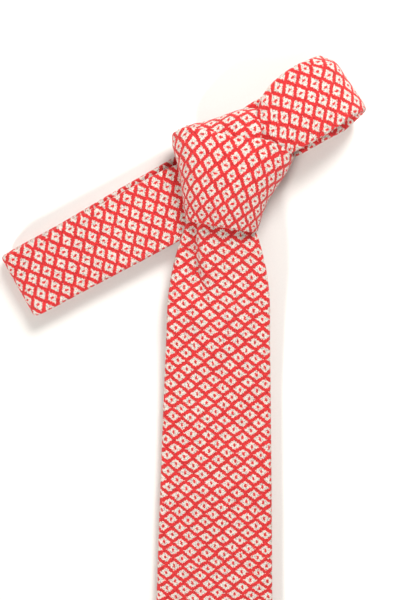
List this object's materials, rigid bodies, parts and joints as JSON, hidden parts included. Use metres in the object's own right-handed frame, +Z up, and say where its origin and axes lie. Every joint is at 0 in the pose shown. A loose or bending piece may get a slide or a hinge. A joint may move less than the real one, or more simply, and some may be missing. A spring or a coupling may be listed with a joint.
{
  "type": "necktie",
  "caption": "Slim cotton necktie tied in a four-in-hand knot, laid flat with its neck loop pressed together; pointed blade over a narrower tail that draws through the knot.",
  "frame": {"origin": "on the table, under the middle of the knot", "axes": "+Z up from the table, +Y from the blade's tip towards the knot, +X towards the raised right-hand end of the neck loop"},
  "size_m": [0.1838, 0.5073, 0.0329],
  "materials": {
    "red_lattice_cotton": "matte woven cotton, cut on the bias, red diagonal lattice on off-white with a small red dot in each diamond",
    "interlining": "brushed wool-blend felt",
    "thread": "matte spun thread",
    "tip_lining": "plain fine cotton",
    "label": "plain woven tape with no text"
  },
  "bodies": {
    "knot": {"knot_front_wrap": "red_lattice_cotton", "knot_front_interlining": "interlining", "knot_back_wrap": "red_lattice_cotton", "knot_first_turn": "red_lattice_cotton", "knot_up_pass": "red_lattice_cotton", "knot_top_pass": "red_lattice_cotton", "knot_blade_pass": "red_lattice_cotton", "neck_centre_shell": "red_lattice_cotton", "neck_centre_interlining": "interlining"},
    "loop_left": {"neck_left_shell": "red_lattice_cotton", "neck_left_interlining": "interlining", "neck_left_slip_stitch": "thread"},
    "loop_right": {"neck_right_shell": "red_lattice_cotton", "neck_right_interlining": "interlining", "neck_right_slip_stitch": "thread"},
    "blade_upper": {"blade_upper_shell": "red_lattice_cotton", "blade_upper_interlining": "interlining", "blade_upper_slip_stitch": "thread", "keeper_loop": "red_lattice_cotton", "blank_label": "label"},
    "blade_lower": {"blade_lower_shell": "red_lattice_cotton", "blade_lower_interlining": "interlining", "blade_lower_slip_stitch": "thread", "blade_tip_lining": "tip_lining", "blade_bar_tack": "thread", "care_label": "label"},
    "tail": {"tail_shell": "red_lattice_cotton", "tail_interlining": "interlining", "tail_slip_stitch": "thread", "tail_tip_lining": "tip_lining", "tail_bar_tack": "thread"}
  },
  "joints": [
    {"name": "tail_slide", "type": "slide", "parent": "knot", "child": "tail", "axis": [0, -1, 0], "range_m": [0, 0.03]},
    {"name": "loop_take_up", "type": "slide", "parent": "knot", "child": "loop_right", "axis": [-0.8192, -0.5736, 0], "range_m": [0, 0.015]},
    {"name": "loop_lift", "type": "hinge", "parent": "knot", "child": "loop_left", "pos_m": [-0.02901, -0.01912, 0.0129], "axis": [-0.471, 0.8821, 0], "range_deg": [0, 40]},
    {"name": "blade_lift", "type": "hinge", "parent": "knot", "child": "blade_upper", "pos_m": [-0.0045, -0.033, 0.017], "axis": [-1, 0, 0], "range_deg": [0, 60]},
    {"name": "blade_fold", "type": "hinge", "parent": "blade_upper", "child": "blade_lower", "pos_m": [-0.0074, -0.261, 0.0078], "axis": [-1, 0, 0], "range_deg": [0, 120]}
  ],
  "couplings": [
    {"joint": "loop_take_up", "follows": "tail_slide", "ratio": 0.5}
  ]
}
